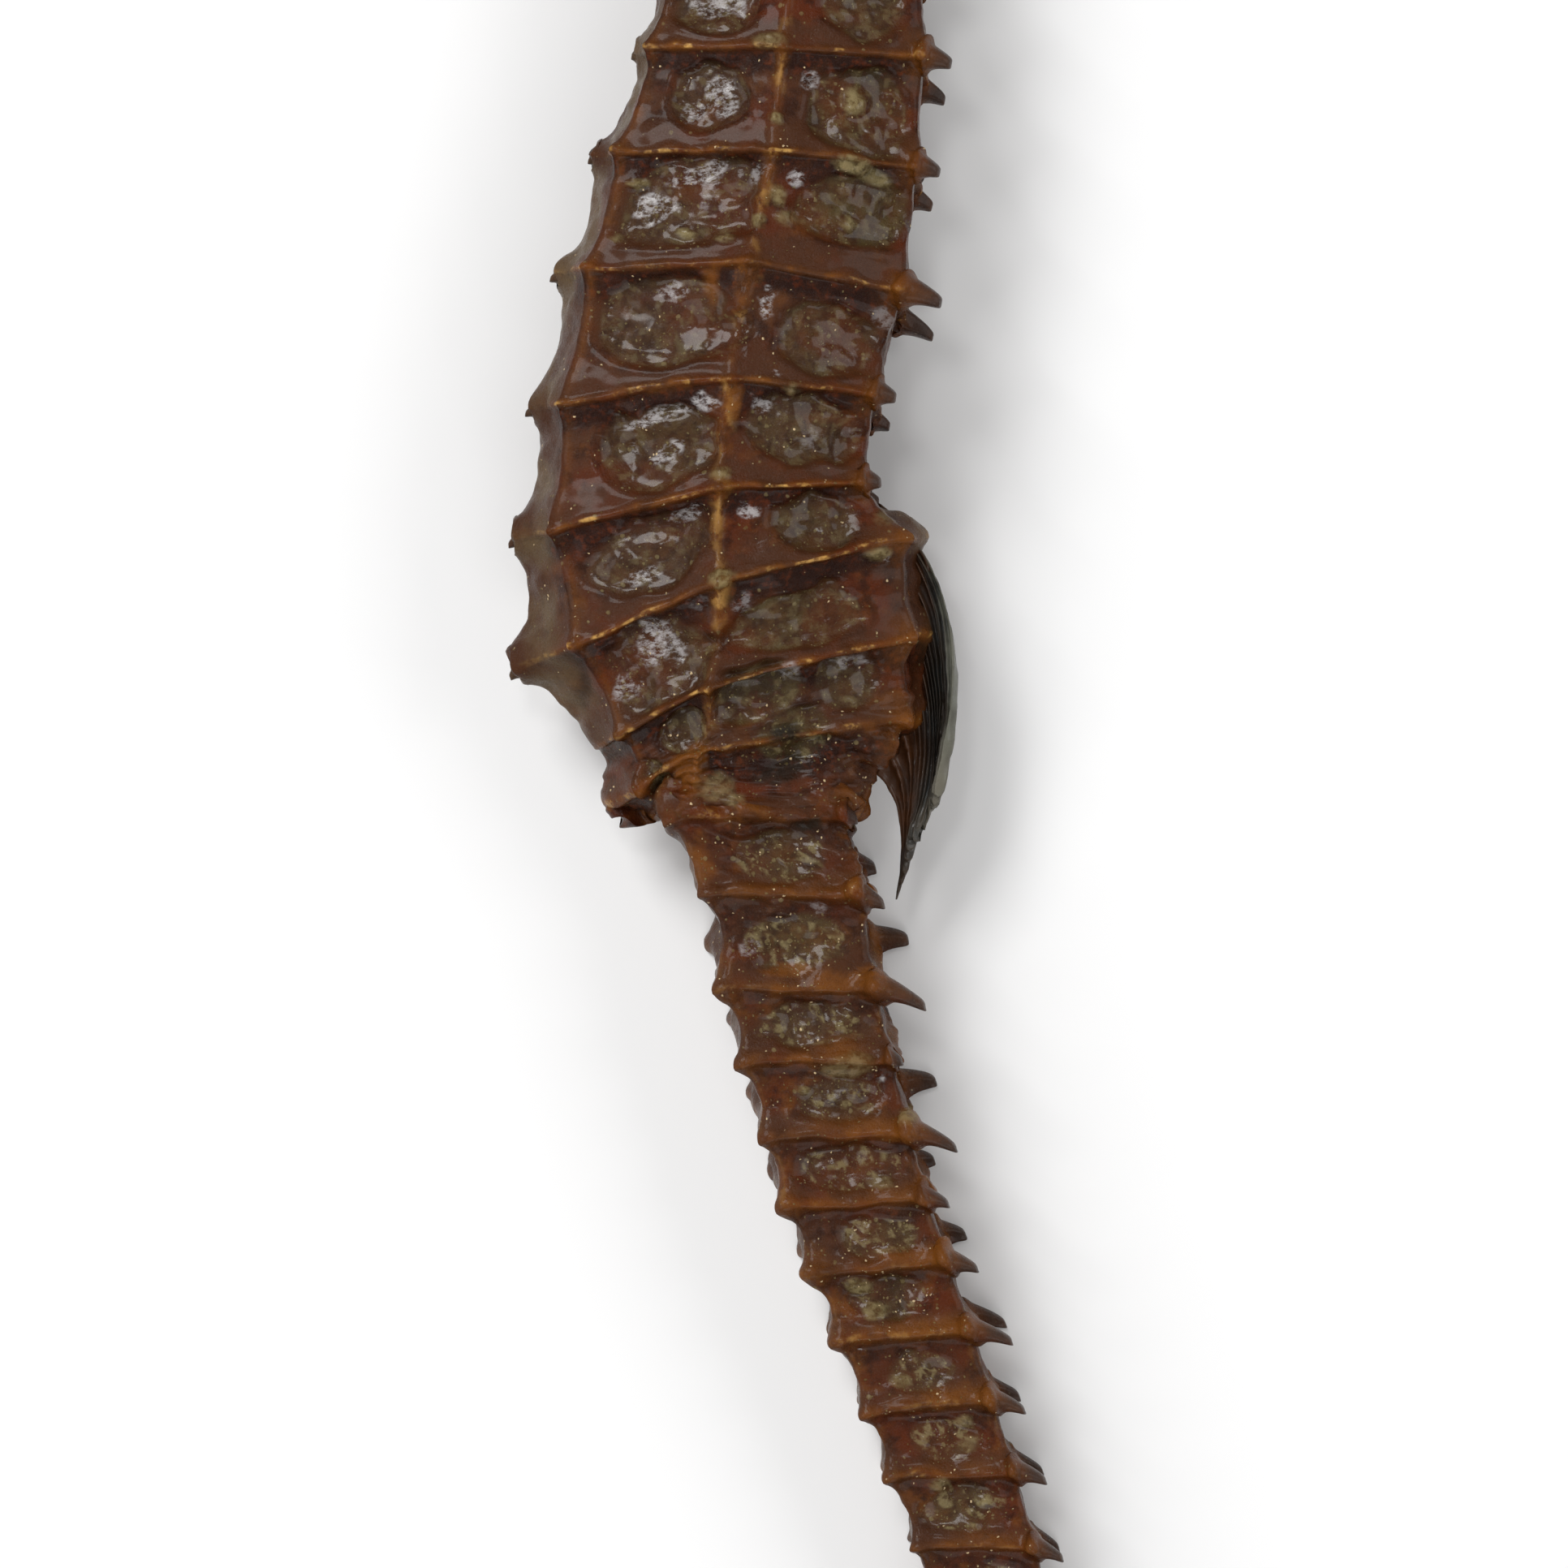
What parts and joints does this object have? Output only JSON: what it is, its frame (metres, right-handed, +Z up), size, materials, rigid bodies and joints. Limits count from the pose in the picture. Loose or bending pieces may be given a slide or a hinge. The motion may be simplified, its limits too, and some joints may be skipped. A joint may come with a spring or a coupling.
{
  "type": "dried seahorse",
  "caption": "Whole dried seahorse with ringed bony armour, short spines, folded back fin and a curled tail, lying flat on its side as a specimen or ornament.",
  "frame": {"origin": "on the surface it lies on, under the middle of its outline", "axes": "+Z up through the left side that faces up, +Y towards the head, +X towards the back"},
  "size_m": [0.0412, 0.1032, 0.0098],
  "materials": {
    "hide": "satin",
    "fin": "satin",
    "eye": "gloss"
  },
  "bodies": {
    "root": {"head": "hide", "snout": "hide", "crown": "hide", "eye_left": "eye", "eye_right": "eye", "neck": "hide", "trunk_upper": "hide", "trunk_middle": "hide", "trunk_lower": "hide", "tail_1": "hide", "tail_2": "hide", "tail_3": "hide", "tail_4": "hide", "tail_5": "hide", "tail_6": "hide", "tail_7": "hide", "tail_8": "hide", "tail_9": "hide", "tail_10": "hide", "back_fin": "fin", "side_fin_left": "fin", "side_fin_right": "fin", "vent_fin": "fin"}
  },
  "joints": []
}
